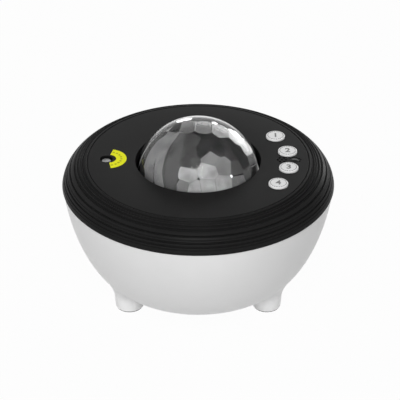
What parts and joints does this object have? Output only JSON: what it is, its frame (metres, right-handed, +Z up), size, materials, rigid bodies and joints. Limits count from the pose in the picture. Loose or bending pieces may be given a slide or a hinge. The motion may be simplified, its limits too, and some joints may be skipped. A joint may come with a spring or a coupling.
{
  "type": "galaxy projector",
  "caption": "Bowl-shaped galaxy projector with a ribbed cover, a clear dome over a turning faceted lens, a laser outlet, push buttons and a floor speaker.",
  "frame": {"origin": "on the surface it stands on, under the dome's axis", "axes": "+Z up, +X towards the buttons, -Y towards the viewer of the picture, +Y towards the power socket"},
  "size_m": [0.166, 0.166, 0.1152],
  "materials": {
    "white_plastic": "smooth satin moulding",
    "black_plastic": "satin moulding",
    "panel_plastic": "fine matt texture",
    "clear_plastic": "clear polished",
    "lens_plastic": "clear faceted",
    "grey_plastic": "plain moulding",
    "pad_rubber": "matt",
    "steel": "zinc plated",
    "aluminium": "plain",
    "brass": "turned",
    "board_green": "solder mask",
    "led_resin": "clear resin",
    "arc_yellow": "printed film",
    "dark_glass": "polished dark resin",
    "frosted_glass": "frosted",
    "paper": "pressed paper pulp"
  },
  "bodies": {
    "case": {"bowl": "white_plastic", "foot_pad_left": "pad_rubber", "foot_pad_right": "pad_rubber", "foot_pad_back": "pad_rubber", "case_screw_left": "steel", "case_screw_right": "steel", "case_screw_back": "steel", "cover_ring": "black_plastic", "cover_screw_1": "steel", "cover_screw_2": "steel", "cover_screw_3": "steel", "top_panel": "panel_plastic", "dome": "clear_plastic", "dome_retainer": "grey_plastic", "retainer_screw_1": "steel", "retainer_screw_2": "steel", "retainer_screw_3": "steel", "chassis": "grey_plastic", "lens_motor": "steel", "heat_sink": "aluminium", "led_board": "aluminium", "led_1": "led_resin", "led_2": "led_resin", "led_3": "led_resin", "led_4": "led_resin", "laser_bezel": "black_plastic", "laser_window": "frosted_glass", "laser_module": "brass", "grating_motor": "steel", "aperture_decal": "arc_yellow", "switch_1": "black_plastic", "switch_2": "black_plastic", "switch_3": "black_plastic", "switch_4": "black_plastic", "button_board": "board_green", "ir_window": "dark_glass", "ir_receiver": "dark_glass", "microphone": "aluminium", "main_board": "board_green", "power_socket": "black_plastic", "speaker_frame": "steel", "speaker_magnet": "steel"},
    "lens": {"ripple_lens": "lens_plastic", "lens_carrier": "white_plastic"},
    "lens_drive": {"lens_pinion": "white_plastic", "lens_motor_shaft": "steel"},
    "grating": {"grating_wheel": "white_plastic", "grating_disc": "clear_plastic"},
    "grating_drive": {"grating_pinion": "white_plastic", "grating_motor_shaft": "steel"},
    "button_1": {"button_1": "white_plastic", "switch_plunger_1": "black_plastic"},
    "button_2": {"button_2": "white_plastic", "switch_plunger_2": "black_plastic"},
    "button_3": {"button_3": "white_plastic", "switch_plunger_3": "black_plastic"},
    "button_4": {"button_4": "white_plastic", "switch_plunger_4": "black_plastic"},
    "cone": {"speaker_cone": "paper"}
  },
  "joints": [
    {"name": "lens_turn", "type": "hinge", "parent": "case", "child": "lens", "pos_m": [0, 0, 0.071], "axis": [0, 0, 1], "continuous": true},
    {"name": "lens_pinion_turn", "type": "hinge", "parent": "case", "child": "lens_drive", "pos_m": [0.03572, 0.02063, 0.071], "axis": [0, 0, 1], "continuous": true},
    {"name": "grating_turn", "type": "hinge", "parent": "case", "child": "grating", "pos_m": [-0.0558, 0.0012, 0.081], "axis": [0, 0, 1], "continuous": true},
    {"name": "grating_pinion_turn", "type": "hinge", "parent": "case", "child": "grating_drive", "pos_m": [-0.0558, 0.0156, 0.081], "axis": [0, 0, 1], "continuous": true},
    {"name": "button_1_press", "type": "slide", "parent": "case", "child": "button_1", "axis": [0, 0, -1], "range_m": [0, 0.0006], "stiffness_N_per_m": 400, "springref_m": -0.0005},
    {"name": "button_2_press", "type": "slide", "parent": "case", "child": "button_2", "axis": [0, 0, -1], "range_m": [0, 0.0006], "stiffness_N_per_m": 400, "springref_m": -0.0005},
    {"name": "button_3_press", "type": "slide", "parent": "case", "child": "button_3", "axis": [0, 0, -1], "range_m": [0, 0.0006], "stiffness_N_per_m": 400, "springref_m": -0.0005},
    {"name": "button_4_press", "type": "slide", "parent": "case", "child": "button_4", "axis": [0, 0, -1], "range_m": [0, 0.0006], "stiffness_N_per_m": 400, "springref_m": -0.0005},
    {"name": "cone_stroke", "type": "slide", "parent": "case", "child": "cone", "axis": [0, 0, 1], "range_m": [-0.0005, 0.0005], "stiffness_N_per_m": 1500}
  ],
  "couplings": [
    {"joint": "lens_pinion_turn", "follows": "lens_turn", "ratio": -3.7143},
    {"joint": "grating_pinion_turn", "follows": "grating_turn", "ratio": -2}
  ]
}
